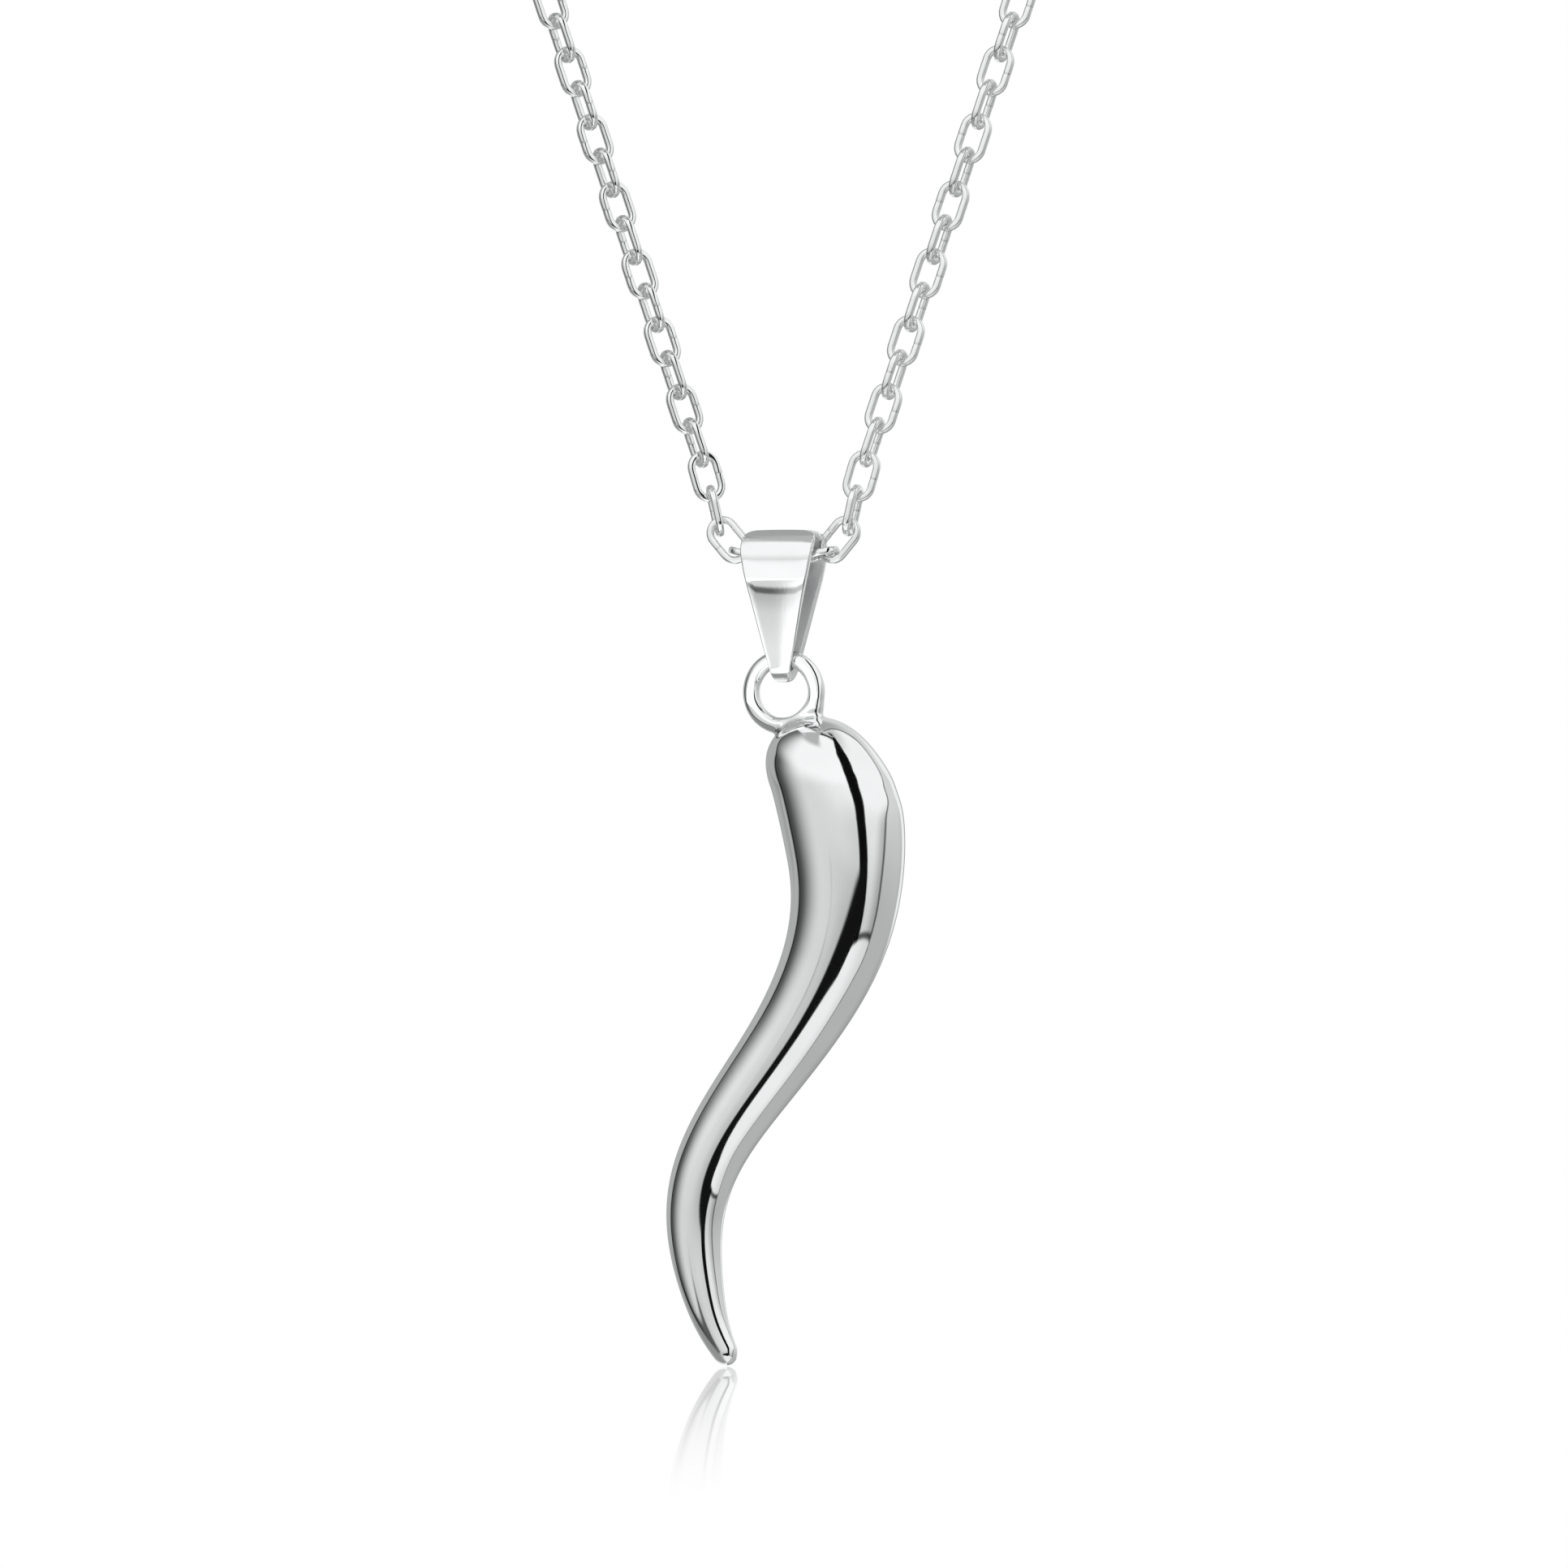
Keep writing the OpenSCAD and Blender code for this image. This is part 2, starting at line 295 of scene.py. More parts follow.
def webField(points, look):
    # how far each point is outside the loop with its web
    radius, wire = look["diameter"] / 2, look["wire"] / 2
    x, y, z = points.T
    loop = np.hypot(np.hypot(x, z) - radius, y) - wire
    flat, inside = np.full(len(x), 1e9), np.ones(len(x), bool)
    corners = look["corners"]
    for (ax, az), (bx, bz) in zip(corners, corners[1:] + corners[:1]):
        square = (bx - ax) ** 2 + (bz - az) ** 2
        along = np.clip(((x - ax) * (bx - ax) + (z - az) * (bz - az)) / square, 0, 1)
        flat = np.minimum(flat, np.hypot(x - ax - along * (bx - ax), z - az - along * (bz - az)))
        inside &= (bx - ax) * (z - az) - (bz - az) * (x - ax) < 0
    flat[inside] = 0
    web = np.hypot(flat, y) - look["web"] / 2
    hole = radius - wire - np.hypot(x, z)
    return -softUnion(-softUnion(loop, web, look["blend"]), -hole, look["holeEdge"])


def skinOf(field, low, high, step):
    # the skin where a field changes sign: one point in each cell that it crosses, and faces between them
    axes = [np.arange(low[i], high[i] + step, step) for i in range(3)]
    size = [len(a) for a in axes]
    value = field(np.stack(np.meshgrid(*axes, indexing="ij"), -1).reshape(-1, 3)).reshape(size)
    cells = [n - 1 for n in size]
    total, count = np.zeros(cells + [3]), np.zeros(cells)

    def part(corner):
        return value[tuple(slice(corner[i], corner[i] + cells[i]) for i in range(3))]

    for axis in range(3):
        for p in (0, 1):
            for q in (0, 1):
                start = [p, q]
                start.insert(axis, 0)
                end = list(start)
                end[axis] = 1
                a, b = part(start), part(end)
                crossed = (a < 0) != (b < 0)
                spot = np.zeros(cells + [3]) + start
                spot[..., axis] = np.where(crossed, a / np.where(crossed, a - b, 1), 0)
                total += spot * crossed[..., None]
                count += crossed
    filled = count > 0
    number = np.full(cells, -1)
    number[filled] = np.arange(filled.sum())
    points = np.array(low) + step * (np.argwhere(filled) + total[filled] / count[filled][:, None])
    faces = []
    for axis in range(3):
        u, v = (axis + 1) % 3, (axis + 2) % 3
        near = [slice(0, n) for n in size]
        near[axis] = slice(0, size[axis] - 1)
        far = list(near)
        far[axis] = slice(1, size[axis])
        a, b = value[tuple(near)] < 0, value[tuple(far)] < 0
        for here in np.argwhere(a != b):
            if min(here[u], here[v]) < 1 or here[u] >= cells[u] or here[v] >= cells[v]:
                continue
            ring = []
            for du, dv in ((0, 0), (1, 0), (1, 1), (0, 1)):
                cell = here.copy()
                cell[u] -= du
                cell[v] -= dv
                ring.append(number[tuple(cell)])
            faces.append(ring if a[tuple(here)] else ring[::-1])
    return points, np.array(faces)


def slopeOf(field, points, step=0.01):
    ways = np.eye(3) * step
    return np.stack([(field(points + w) - field(points - w)) / (2 * step) for w in ways], 1)


def domeField(points):
    # how far each point is outside the horn's dome, whose rings are level
    look = hornLook

    def plain(at):
        deep = -look["domeDrop"] - at[:, 2]
        t = deep / look["height"]
        full = hornThick(t)
        x = (at[:, 0] - look["sway"] * hornSide(t)) * 2 / look["thickness"]
        y = at[:, 1] * 2 / look["depth"]
        above = np.clip(1 - deep / look["domeHeight"], 0, None)
        return np.sqrt(x**2 + y**2 + (full * above) ** 2) - full

    value = plain(points)
    return value / np.linalg.norm(slopeOf(plain, points), axis=1)


def weldedField(points):
    return softUnion(webField(points, loopLook), domeField(points), loopLook["weld"])


loopReach = (loopLook["diameter"] + loopLook["wire"]) / 2 + loopLook["room"]
boxLow = (-loopReach, -loopLook["boxDepth"], -loopReach - loopLook["boxBelow"])
boxHigh = (loopReach + loopLook["boxRight"], loopLook["boxDepth"], loopReach)
loopPoints, loopFaces = skinOf(weldedField, boxLow, boxHigh, loopLook["fine"])
for _ in range(3):
    slope = slopeOf(weldedField, loopPoints)
    loopPoints = loopPoints - (weldedField(loopPoints) / (slope**2).sum(1))[:, None] * slope
loopOut = slopeOf(weldedField, loopPoints)
loopOut /= np.linalg.norm(loopOut, axis=1)[:, None]
# the skin keeps the loop, the web and a rim of the dome; the horn's body keeps the rest of the dome
kept = webField(loopPoints, loopLook) < loopLook["weld"] + loopLook["fine"]
loopFaces = loopFaces[kept[loopFaces].all(1)]
used = np.unique(loopFaces)
renumber = np.zeros(len(loopPoints), int)
renumber[used] = np.arange(len(used))
loopPoints, loopOut, loopFaces = loopPoints[used], loopOut[used], renumber[loopFaces]
covered = webField(hornPoints, loopLook) < loopLook["weld"] - loopLook["fine"]
hornFaces = [f for f in hornFaces if not all(covered[i] for i in f)]
print("loop and web with", len(loopFaces), "faces")

drop = np.array((0, 0, -hangSizes["loopDrop"]))
horn = makePiece("horn_polished", toPendant(hornPoints + drop), hornFaces)
loop = makePiece("horn_loop", toPendant(loopPoints + drop), loopFaces, turnWay(loopOut))

# bail

bailLook = {
    "thickness": 0.42,
    "outline": [           # height and half width of the strap
        (-6.57, 0.36), (-6.52, 0.42), (-6.42, 0.47), (-6.27, 0.51), (-5.5, 0.69), (-4.6, 0.91), (-3.4, 1.18),
        (-2.6, 1.36), (-2.0, 1.50), (-1.5, 1.62), (-1.0, 1.73), (-0.5, 1.84), (0.0, 1.93), (0.4, 1.99),
        (0.8, 2.03), (1.15, 2.035), (1.32, 2.01), (1.43, 1.96), (1.51, 1.88), (1.57, 1.78),
        (1.61, 1.66), (1.63, 1.55),
    ],
    "inside": 1.21,        # radius of the round top's inside
    "belly": 0.90,         # upright stretch below the round top
    "footInside": 0.58,    # radius round the loop's wire
    "footOutside": 0.874,
    "slot": 5.379,         # depth of the wire's centre below the chain's centre line
    "bottom": 6.569,
    "edge": 0.09,          # how far the strap's edges are rounded
    "crown": 0.03,         # how far the strap's middle stands proud of its edges
}


def strapSide(topRadius, footRadius, footDepth, belly):
    # one half of the strap's line seen from the side, from the middle of the foot up to the middle of the top
    lean = math.asin((topRadius - footRadius) / (footDepth - belly))
    line = [(footRadius * math.cos(a), footRadius * math.sin(a) - footDepth)
            for a in np.linspace(-math.pi / 2, -lean, 19)]
    high = (topRadius * math.cos(lean), -topRadius * math.sin(lean) - belly)
    low = line[-1]
    line += [(low[0] + (high[0] - low[0]) * s, low[1] + (high[1] - low[1]) * s)
             for s in np.linspace(0, 1, 34)[1:]]
    line += [(topRadius * math.cos(a), topRadius * math.sin(a) - belly) for a in np.linspace(-lean, 0, 9)[1:]]
    line += [(topRadius, -belly + belly * s) for s in np.linspace(0, 1, 9)[1:]]
    line += [(topRadius * math.cos(a), topRadius * math.sin(a)) for a in np.linspace(0, math.pi / 2, 41)[1:]]
    return np.array(line)


def strapHalfWidth(height, look):
    heights, halves = zip(*look["outline"])
    return float(np.interp(height, heights, halves))


def strapRing(half, thick, look):
    # the strap's section: across it, and out from its inner face
    edge = look["edge"]
    ring = []
    for cx, cy, start in ((half - edge, thick - edge, 0), (edge - half, thick - edge, 90),
                          (edge - half, edge, 180), (half - edge, edge, 270)):
        for a in np.linspace(0, 90, 6):
            turn = math.radians(start + a)
            ring.append((cx + edge * math.cos(turn), cy + edge * math.sin(turn)))
        if start == 0:
            ring += [(cx * s, thick) for s in (0.75, 0.5, 0.25, 0, -0.25, -0.5, -0.75)]
        if start == 180:
            ring += [(-cx * s, 0.0) for s in (-0.6, -0.2, 0.2, 0.6)]
    ring = np.array(ring)
    outer = ring[:, 1] > thick * 0.7
    ring[:, 1] -= np.where(outer, look["crown"] * (ring[:, 0] / half) ** 2, 0)
    return ring


def strapShape(look):
    top = look["inside"] + look["thickness"]
    outer = strapSide(top, look["footOutside"], look["bottom"] - look["footOutside"], look["belly"])
    inner = strapSide(look["inside"], look["footInside"], look["slot"], look["belly"])
    outer = np.vstack((outer, (outer * (-1, 1))[-2:0:-1]))
    inner = np.vstack((inner, (inner * (-1, 1))[-2:0:-1]))
    rings, within = [], []
    for out, inn in zip(outer, inner):
        way = out - inn
        thick = math.hypot(*way)
        way = way / thick
        section = strapRing(strapHalfWidth(out[1], look), thick, look)
        beside, proud = section.T
        rings.append(np.stack((beside, inn[0] + proud * way[0], inn[1] + proud * way[1]), 1))
        within.append(proud < 0.3 * thick)
    sides = len(rings[0])
    return np.vstack(rings), tubeFaces(len(rings), sides, True), np.concatenate(within)


bailPoints, bailFaces, bailWithin = strapShape(bailLook)
bailFaces = outward(bailPoints, bailFaces)
bail = makePiece("bail_strap", toPendant(bailPoints), bailFaces, numbers={"within": bailWithin})
print("bail with", len(bailFaces), "faces")

# chain

chainLook = {
    "wire": 0.40,
    "length": 2.83,
    "width": 1.80,
    "gap": 0.12,
    "nesting": 0.16,     # how much closer the links sit where the chain bends through the bail
    "roll": 25,          # degrees that each strand is rolled about its own length
    "square": 3.0,       # 2 is a round wire, more is flatter on its four sides
    "sides": 16,
    "claspLength": 8.5,
    "seam": 0.035,       # half length of the soldered seam in each link
    "seamDepth": 0.06,   # share of the wire that the seam is sunk by
    "route": [           # right half: out to the side, back, up, and how far it leans with the turned pendant
        (0, 0, 0, 0), (0.9, 0, 0, 0.3), (2.7, 0, 0.6, 0.9), (3.6, 0, 2, 1.2), (4, 0, 4.1, 1.2),
        (4.6, 0, 5.9, 1.2), (11.6, 0, 27, 1), (20, 0, 52.3, 0.6), (28.4, 0, 77.5, 0.2), (33, 1, 91, 0),
        (38, 6, 105, 0), (43, 17, 117, 0), (45, 32, 125, 0), (43, 48, 130, 0), (36, 64, 134, 0),
        (24, 76, 136, 0), (12, 82, 137, 0), (5, 83, 137, 0), (0, 83, 137, 0),
    ],
    "routeSteps": 12,
}
linkPitch = chainLook["length"] - 2 * chainLook["wire"] - chainLook["gap"]
bendPitch = linkPitch - chainLook["nesting"]


def wayOf(points):
    return np.concatenate(([0], np.cumsum(np.linalg.norm(np.diff(points, axis=0), axis=1))))


def routeCurve(lean):
    knots = np.array([(p[0], p[1] - lean * p[3], p[2]) for p in chainLook["route"]], float)
    way = wayOf(knots)
    steps = chainLook["routeSteps"]
    stretches = [np.linspace(a, b, steps, endpoint=False) for a, b in zip(way, way[1:])]
    places = np.concatenate(stretches + [way[-1:]])
    before = np.clip(np.searchsorted(way, places, side="right") - 1, 0, len(way) - 2)
    low = np.clip(np.arange(len(way)) - 1, 0, None)
    high = np.clip(np.arange(len(way)) + 1, None, len(way) - 1)
    slope = (knots[high] - knots[low]) / (way[high] - way[low])[:, None]
    span = (way[before + 1] - way[before])[:, None]
    u = (places - way[before])[:, None] / span
    points = (
        knots[before] * (1 - u) ** 2 * (1 + 2 * u) + slope[before] * span * u * (1 - u) ** 2
        + knots[before + 1] * u**2 * (3 - 2 * u) - slope[before + 1] * span * u**2 * (1 - u)
    )
    return wayOf(points), points


def onCurve(curve, way):
    return np.array([np.interp(way, curve[0], curve[1][:, i]) for i in range(3)])


def hookWay(k):
    return (k + 0.5) * bendPitch if k < 3 else 2.5 * bendPitch + (k - 2) * linkPitch


def linkRoll(k):
    return 90 * ((k + 1) % 2) - chainLook["roll"] * min(k / 6, 1)


def linkShape(seamSide):
    # one link about its middle, along x, with a soldered seam in one of its long sides
    look = chainLook
    bend, straight = (look["width"] - look["wire"]) / 2, look["length"] - look["width"]
    fine, noSeam = look["seam"], 9  # mm from the seam, where there is none near
    stations = []
    for end in (0, 1):
        flip = 1 - 2 * end
        inner = [-0.5, -0.3, -0.1, 0.1, 0.3]
        if end == seamSide:
            inner = [-0.5, -0.3, -3 * fine / straight, -fine / straight, 0,
                     fine / straight, 3 * fine / straight, 0.3]
        stations += [(flip * s * straight, -flip * bend, flip * -90,
                      abs(s * straight) if end == seamSide else noSeam) for s in inner]
        stations += [(flip * (straight / 2 + bend * math.cos(math.radians(a))),
                      flip * bend * math.sin(math.radians(a)), a + (180 if end else 0), noSeam)
                     for a in np.linspace(-90, 90, 13)[:-1]]
    around = np.linspace(0, 2 * math.pi, look["sides"], endpoint=False) + math.pi / look["sides"]
    power = 2 / look["square"]
    across = np.sign(np.cos(around)) * np.abs(np.cos(around)) ** power * look["wire"] / 2
    over = np.sign(np.sin(around)) * np.abs(np.sin(around)) ** power * look["wire"] / 2
    points, seam = [], []
    for x, y, way, far in stations:
        sunk = 1 - look["seamDepth"] * math.exp(-(far / fine) ** 2)
        out = np.array((math.cos(math.radians(way)), math.sin(math.radians(way)), 0))
        section = out * across[:, None] + np.array((0, 0, 1)) * over[:, None]
        points.append(np.array((x, y, 0)) + section * sunk)
        seam += [max(0.0, 1 - far / (2 * fine))] * look["sides"]
    points = np.vstack(points)
    faces = np.array(outward(points, tubeFaces(len(stations), look["sides"], True)))
    return points, faces, np.array(seam)


def alongWay(direction):
    # turns a piece that lies along x to a direction, first level, then up
    level = math.hypot(direction[0], direction[1])
    up, side = -math.atan2(direction[2], level), math.atan2(direction[1], direction[0])
    aboutY = np.array([[math.cos(up), 0, math.sin(up)], [0, 1, 0], [-math.sin(up), 0, math.cos(up)]])
    aboutZ = np.array([[math.cos(side), -math.sin(side), 0], [math.sin(side), math.cos(side), 0], [0, 0, 1]])
    return aboutZ @ aboutY


def rollMatrix(degrees):
    c, s = math.cos(math.radians(degrees)), math.sin(math.radians(degrees))
    return np.array([[1, 0, 0], [0, c, -s], [0, s, c]])


rightCurve, leftCurve = routeCurve(1), routeCurve(-1)
lastLink = math.floor((rightCurve[0][-1] - chainLook["claspLength"] / 2 - 2.5 * bendPitch) / linkPitch) + 2
linkModels = [linkShape(0), linkShape(1)]
chance = np.random.default_rng(7)


def strandShape(curve, mirrored, middleLink):
    points, faces, seams, tones, count = [], [], [], [], 0
    for k in range(0 if middleLink else 1, lastLink + 1):
        model, quads, seam = linkModels[chance.integers(2)]
        if k == 0:
            turn = math.radians(-hangSizes["turn"])
            c, s = math.cos(turn), math.sin(turn)
            about = np.array([[c, -s, 0], [s, c, 0], [0, 0, 1]])
            placed = model @ (about @ rollMatrix(linkRoll(0))).T
        else:
            a, b = onCurve(curve, hookWay(k - 1)), onCurve(curve, hookWay(k))
            placed = model @ (alongWay(b - a) @ rollMatrix(linkRoll(k))).T + (a + b) / 2
            if mirrored:
                placed = placed * (-1, 1, 1)
                quads = quads[:, ::-1]
        points.append(placed)
        faces.append(quads + count)
        seams.append(seam)
        tones.append(np.full(len(model), chance.random()))
        count += len(model)
    return np.vstack(points), np.vstack(faces), np.concatenate(seams), np.concatenate(tones)


chains = {}
for node, curve, mirrored in (("chain_right", rightCurve, False), ("chain_left", leftCurve, True)):
    points, faces, seams, tones = strandShape(curve, mirrored, mirrored)
    chains[node] = makePiece(node + "_links", toNape(points), faces, numbers={"seam": seams, "tone": tones})
    print(node, "with", len(faces), "faces")

# clasp

claspLook = {
    "barrel": 2.4,
    "eyeWire": 0.50,
    "eye": 1.60,
    "bevel": 0.12,
    "grooveBack": 0.5,    # from the barrel's end back to its groove
    "grooveHalf": 0.16,   # half width of the groove, and of its floor
    "grooveFloor": 0.08,
    "grooveDepth": 0.05,
    "sides": 64,
    "eyeRings": 48,
    "eyeSides": 16,
}


def claspShape(look):
    # a turned barrel with a cone and an eye at each end
    hook = onCurve(rightCurve, hookWay(lastLink))
    ahead = onCurve(rightCurve, hookWay(lastLink) + linkPitch) - hook
    ahead /= np.linalg.norm(ahead)
    hookReach = (chainLook["wire"] + chainLook["gap"]) / 2
    eyeReach = look["eyeWire"] / 2 + chainLook["wire"] / 2 + chainLook["gap"] - hookReach
    eye = hook + ahead * (look["eye"] / 2 - eyeReach)
    end = eye[0] - look["eye"] / 2
    neck = end - look["barrel"] / 4
    radius, thin, cut = look["barrel"] / 2, look["eyeWire"] / 2, look["bevel"]
    groove, half, flat = neck - look["grooveBack"], look["grooveHalf"], look["grooveFloor"]
    sunk = radius - look["grooveDepth"]
    line = [(0, radius), (groove - half, radius), (groove - flat, sunk), (groove + flat, sunk),
            (groove + half, radius), (neck - cut, radius), (neck - cut * 0.3, radius - cut * 0.12),
            (neck, radius - cut * 0.6), (end, thin)]
    line = [(-x, r) for x, r in reversed(line[1:])] + line
    wide = look["sides"]
    around = np.linspace(0, 2 * math.pi, wide, endpoint=False)
    centre = np.array((0, hangSizes["napeBack"], hangSizes["napeUp"]))
    points = [centre + np.stack((np.full(wide, x), r * np.cos(around), r * np.sin(around)), 1)
              for x, r in line]
    faces = tubeFaces(len(line), wide, False).tolist()
    faces.append(list(range(wide))[::-1])
    faces.append([(len(line) - 1) * wide + j for j in range(wide)])
    count = len(line) * wide
    turn = alongWay(ahead) @ rollMatrix(linkRoll(lastLink + 1))
    rings, sides = look["eyeRings"], look["eyeSides"]
    for flip in (1, -1):
        about = np.linspace(0, 2 * math.pi, rings, endpoint=False)
        small = np.linspace(0, 2 * math.pi, sides, endpoint=False)
        far = look["eye"] / 2 + thin * np.cos(small)[None, :]
        ring = np.stack((far * np.cos(about)[:, None], far * np.sin(about)[:, None],
                         np.broadcast_to(thin * np.sin(small), (rings, sides))), -1).reshape(-1, 3)
        points.append((ring @ turn.T + eye) * (flip, 1, 1))
        quads = tubeFaces(rings, sides, True)
        faces += ((quads if flip > 0 else quads[:, ::-1]) + count).tolist()
        count += rings * sides
    return np.vstack(points), faces


claspPoints, claspFaces = claspShape(claspLook)
claspFaces = outward(claspPoints, claspFaces)
clasp = makePiece("clasp_barrel", toNape(claspPoints), claspFaces)
clasp.data.set_sharp_from_angle(angle=math.radians(35))
print("clasp with", len(claspFaces), "faces")

# silver

silverLook = {
    "horn": {"tone": (0.955, 0.962, 0.962), "rough": 0.045, "marks": 0.015, "wave": 0.02},
    "bail": {"tone": (0.955, 0.960, 0.962), "rough": 0.055, "marks": 0.02, "wave": 0.03},
    "chain": {"tone": (0.962, 0.964, 0.966), "rough": 0.07, "marks": 0.02, "wave": 0.03},
    "clasp": {"tone": (0.955, 0.960, 0.962), "rough": 0.06, "marks": 0.02, "wave": 0.03},
}


def silver(name, look, recess=None, links=False, within=False):
    material = bpy.data.materials.new(name)
    material.use_nodes = True
    board = Board(material.node_tree)
    place = board.add("ShaderNodeTexCoord", output="Object")
    cloud = board.add("ShaderNodeTexNoise", None,
                      {"Vector": place, "Scale": 260.0, "Detail": 3.0, "Roughness": 0.55})
    stretched = board.add("ShaderNodeVectorMath", {"operation": "MULTIPLY"}, [place, (1.0, 1.0, 0.12)])
    fine = board.add("ShaderNodeTexNoise", None, {"Vector": stretched, "Scale": 9000.0, "Detail": 2.0})
    dull = board.rise(cloud, 0.42, 0.72)
    dark = 0.06 * dull
    rough = look["rough"] + look["marks"] * dull + 0.006 * fine
    if recess:
        # tarnish settles where polishing doesn't reach
        far = board.add("ShaderNodeVectorMath", {"operation": "DISTANCE"},
                        [place, recess["at"]], output="Value")
        near = 1 - board.rise(far, recess["full"], recess["none"])
        dark = dark + recess["dark"] * near * (0.5 + 0.5 * dull)
        rough = rough + 0.05 * near
    if within:
        # the strap's inner face isn't polished
        inner = board.add("ShaderNodeAttribute", {"attribute_name": "within"}, output="Fac")
        dark = dark + 0.04 * inner
        rough = rough + 0.33 * inner
    if links:
        tone = board.add("ShaderNodeAttribute", {"attribute_name": "tone"}, output="Fac")
        seam = board.add("ShaderNodeAttribute", {"attribute_name": "seam"}, output="Fac")
        dark = dark + 0.05 * tone + 0.30 * seam
        rough = rough + 0.03 * tone + 0.12 * seam
    bright = look["tone"]
    worn = tuple(c * f for c, f in zip(bright, (0.30, 0.29, 0.28)))
    colour = board.add("ShaderNodeMix", {"data_type": "RGBA"},
                       {0: dark, 6: bright + (1.0,), 7: worn + (1.0,)}, output=2)
    bump = board.add("ShaderNodeBump", None, {"Strength": look["wave"], "Distance": 0.00002, "Height": fine})
    shader = board.add("ShaderNodeBsdfPrincipled", None,
                       {"Base Color": colour, "Metallic": 1.0, "Roughness": rough, "Normal": bump})
    board.add("ShaderNodeOutputMaterial", None, {"Surface": shader})
    return material


# m from a recess within which tarnish is full, m beyond which there is none, and how dark it gets
hornWeld = toPendant(np.array([(0.4, 0, -2.1)]) + drop)[0]
hornRecess = {"at": tuple(hornWeld), "full": 0.0006, "none": 0.0022, "dark": 0.22}
bailFoot = toPendant(np.array([(0, 0, -bailLook["slot"])]))[0]
bailRecess = {"at": tuple(bailFoot), "full": 0.0005, "none": 0.0012, "dark": 0.2}
hornSilver = silver("horn_silver", silverLook["horn"], hornRecess)
bailSilver = silver("bail_silver", silverLook["bail"], bailRecess, within=True)
chainSilver = silver("chain_silver", silverLook["chain"], links=True)
claspSilver = silver("clasp_silver", silverLook["clasp"])
for piece, material in ((horn, hornSilver), (loop, hornSilver), (bail, bailSilver), (clasp, claspSilver),
                        (chains["chain_left"], chainSilver), (chains["chain_right"], chainSilver)):
    piece.data.materials.append(material)
print("silver finished")

# each piece takes its place on its body

for piece, body, node, slot in (
    (horn, "horn", "horn", "polished_silver"),
    (loop, "horn", "horn", "polished_silver"),
    (bail, "bail", "bail", "polished_silver"),
    (clasp, "necklace", "clasp", "chain_silver"),
    (chains["chain_left"], "necklace", "chain_left", "chain_silver"),
    (chains["chain_right"], "necklace", "chain_right", "chain_silver"),
):
    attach(piece, body)
    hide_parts(node)

# studio

studio = {
    "pixel": 0.0436,          # mm of the object for each pixel of the photograph
    "frame": 1932,
    "middle": (966, 966),     # pixel at the middle of the frame
    "axis": (966, 690),       # pixel of the chain's centre line in the bail
    "far": 1400,              # mm from the camera to the pendant
    "floorGap": 0.04,         # mm from the tip down to the floor
    "mirror": 0.45,           # how strongly the floor mirrors at the tip
    "mirrorReach": 0.27,      # m over which the mirror fades
}

scene = bpy.context.scene
cameraData = bpy.data.cameras.new("studio_camera")
camera = bpy.data.objects.new("studio_camera", cameraData)
scene.collection.objects.link(camera)
wide = studio["frame"] * studio["pixel"]
cameraData.sensor_width = 36
cameraData.lens = 36 * studio["far"] / wide
cameraData.clip_start, cameraData.clip_end = 0.01, 100
camera.location = (
    (studio["middle"][0] - studio["axis"][0]) * studio["pixel"] * mm,
    -(studio["far"] + hangSizes["napeBack"]) * mm,
    (-hangSizes["napeUp"] - (studio["middle"][1] - studio["axis"][1]) * studio["pixel"]) * mm,
)
camera.rotation_euler = (math.radians(90), 0, 0)
scene.camera = camera

tipAt = min(horn.data.vertices, key=lambda v: v.co.z).co
floorSide = 3.0  # m from its middle to each edge
floorMesh = bpy.data.meshes.new("floor")
floorCorners = [(x * floorSide, y * floorSide, 0) for x, y in ((-1, -1), (1, -1), (1, 1), (-1, 1))]
floorMesh.from_pydata(floorCorners, [], [(0, 1, 2, 3)])
floor = bpy.data.objects.new("floor", floorMesh)
scene.collection.objects.link(floor)
floor.location = (tipAt.x, tipAt.y, tipAt.z - studio["floorGap"] * mm)
floor.visible_glossy = False
floor.visible_diffuse = False
floor.visible_shadow = False
floorFinish = bpy.data.materials.new("floor_gloss")
floorFinish.use_nodes = True
board = Board(floorFinish.node_tree)
spot = board.add("ShaderNodeTexCoord", output="Object")
away = board.add("ShaderNodeVectorMath", {"operation": "LENGTH"}, [spot], output="Value")
mirror = studio["mirror"] * (1 - board.rise(away, 0.0, studio["mirrorReach"]))
pale = board.add("ShaderNodeEmission", None, {"Color": (1, 1, 1, 1), "Strength": 1.0})
gloss = board.add("ShaderNodeBsdfGlossy", None, {"Color": (1, 1, 1, 1), "Roughness": 0.0})
clear = board.add("ShaderNodeBsdfTransparent", None, {"Color": (1, 1, 1, 1)})
topSide = board.add("ShaderNodeMixShader", None, [mirror, pale, gloss])
below = board.add("ShaderNodeNewGeometry", output="Backfacing")
bothSides = board.add("ShaderNodeMixShader", None, [below, topSide, clear])
board.add("ShaderNodeOutputMaterial", None, {"Surface": bothSides})
floorMesh.materials.append(floorFinish)

